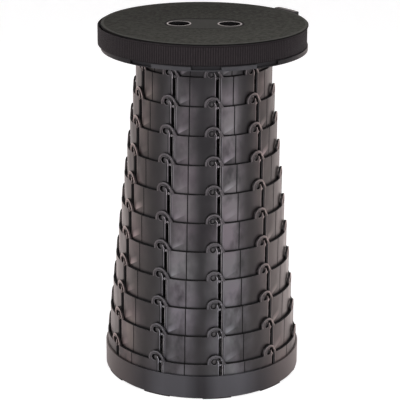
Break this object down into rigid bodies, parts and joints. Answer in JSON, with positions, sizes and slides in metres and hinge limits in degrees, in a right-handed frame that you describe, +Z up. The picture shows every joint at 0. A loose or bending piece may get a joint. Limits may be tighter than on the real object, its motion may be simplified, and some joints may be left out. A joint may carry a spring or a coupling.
{
  "type": "collapsible telescopic stool",
  "caption": "Round portable stool whose nested plastic rings slide into each other, with a finger-hole seat and a carrying strap round its rim.",
  "frame": {"origin": "on the floor, on the axis of the rings", "axes": "+Z up along the axis of the rings, -Y to the front, +X to the right of someone who looks at the front"},
  "size_m": [0.2589, 0.2552, 0.4503],
  "materials": {
    "ring_plastic": "satin moulded plastic, dark grey",
    "rim_plastic": "satin moulded plastic, near black",
    "seat_plastic": "fine stippled plastic, dark grey-green",
    "insert_plastic": "smooth satin plastic",
    "screw_steel": "zinc-plated steel",
    "webbing": "woven polypropylene webbing",
    "buckle_plastic": "satin moulded plastic, black",
    "foot_rubber": "matt rubber"
  },
  "bodies": {
    "base": {"base_collar": "ring_plastic", "foot_pad_01": "foot_rubber", "foot_pad_02": "foot_rubber", "foot_pad_03": "foot_rubber", "foot_pad_04": "foot_rubber", "foot_pad_05": "foot_rubber", "foot_pad_06": "foot_rubber", "foot_pad_07": "foot_rubber", "foot_pad_08": "foot_rubber", "foot_pad_09": "foot_rubber", "foot_pad_10": "foot_rubber", "base_ring": "ring_plastic"},
    "ring_10": {"ring_10": "ring_plastic"},
    "ring_09": {"ring_09": "ring_plastic"},
    "ring_08": {"ring_08": "ring_plastic"},
    "ring_07": {"ring_07": "ring_plastic"},
    "ring_06": {"ring_06": "ring_plastic"},
    "ring_05": {"ring_05": "ring_plastic"},
    "ring_04": {"ring_04": "ring_plastic"},
    "ring_03": {"ring_03": "ring_plastic"},
    "ring_02": {"ring_02": "ring_plastic"},
    "ring_01": {"ring_01": "ring_plastic"},
    "seat": {"seat_neck": "ring_plastic", "seat_shell": "rim_plastic", "seat_lid": "seat_plastic", "grip_insert": "insert_plastic", "finger_bezel_left": "insert_plastic", "finger_bezel_right": "insert_plastic", "seat_screws": "screw_steel", "strap": "webbing", "buckle_socket": "buckle_plastic"},
    "plug": {"buckle_plug": "buckle_plastic", "strap_end": "webbing"}
  },
  "joints": [
    {"name": "ring_10_slide", "type": "slide", "parent": "base", "child": "ring_10", "axis": [0, 0, 1], "range_m": [-0.0355, 0]},
    {"name": "ring_09_slide", "type": "slide", "parent": "ring_10", "child": "ring_09", "axis": [0, 0, 1], "range_m": [-0.0355, 0]},
    {"name": "ring_08_slide", "type": "slide", "parent": "ring_09", "child": "ring_08", "axis": [0, 0, 1], "range_m": [-0.0355, 0]},
    {"name": "ring_07_slide", "type": "slide", "parent": "ring_08", "child": "ring_07", "axis": [0, 0, 1], "range_m": [-0.0355, 0]},
    {"name": "ring_06_slide", "type": "slide", "parent": "ring_07", "child": "ring_06", "axis": [0, 0, 1], "range_m": [-0.0355, 0]},
    {"name": "ring_05_slide", "type": "slide", "parent": "ring_06", "child": "ring_05", "axis": [0, 0, 1], "range_m": [-0.0355, 0]},
    {"name": "ring_04_slide", "type": "slide", "parent": "ring_05", "child": "ring_04", "axis": [0, 0, 1], "range_m": [-0.0355, 0]},
    {"name": "ring_03_slide", "type": "slide", "parent": "ring_04", "child": "ring_03", "axis": [0, 0, 1], "range_m": [-0.0355, 0]},
    {"name": "ring_02_slide", "type": "slide", "parent": "ring_03", "child": "ring_02", "axis": [0, 0, 1], "range_m": [-0.0355, 0]},
    {"name": "ring_01_slide", "type": "slide", "parent": "ring_02", "child": "ring_01", "axis": [0, 0, 1], "range_m": [-0.0355, 0]},
    {"name": "seat_slide", "type": "slide", "parent": "ring_01", "child": "seat", "axis": [0, 0, 1], "range_m": [-0.028, 0]},
    {"name": "buckle_release", "type": "hinge", "parent": "seat", "child": "plug", "pos_m": [0, 0, 0.43585], "axis": [0, 0, -1], "range_deg": [0, 8]}
  ]
}
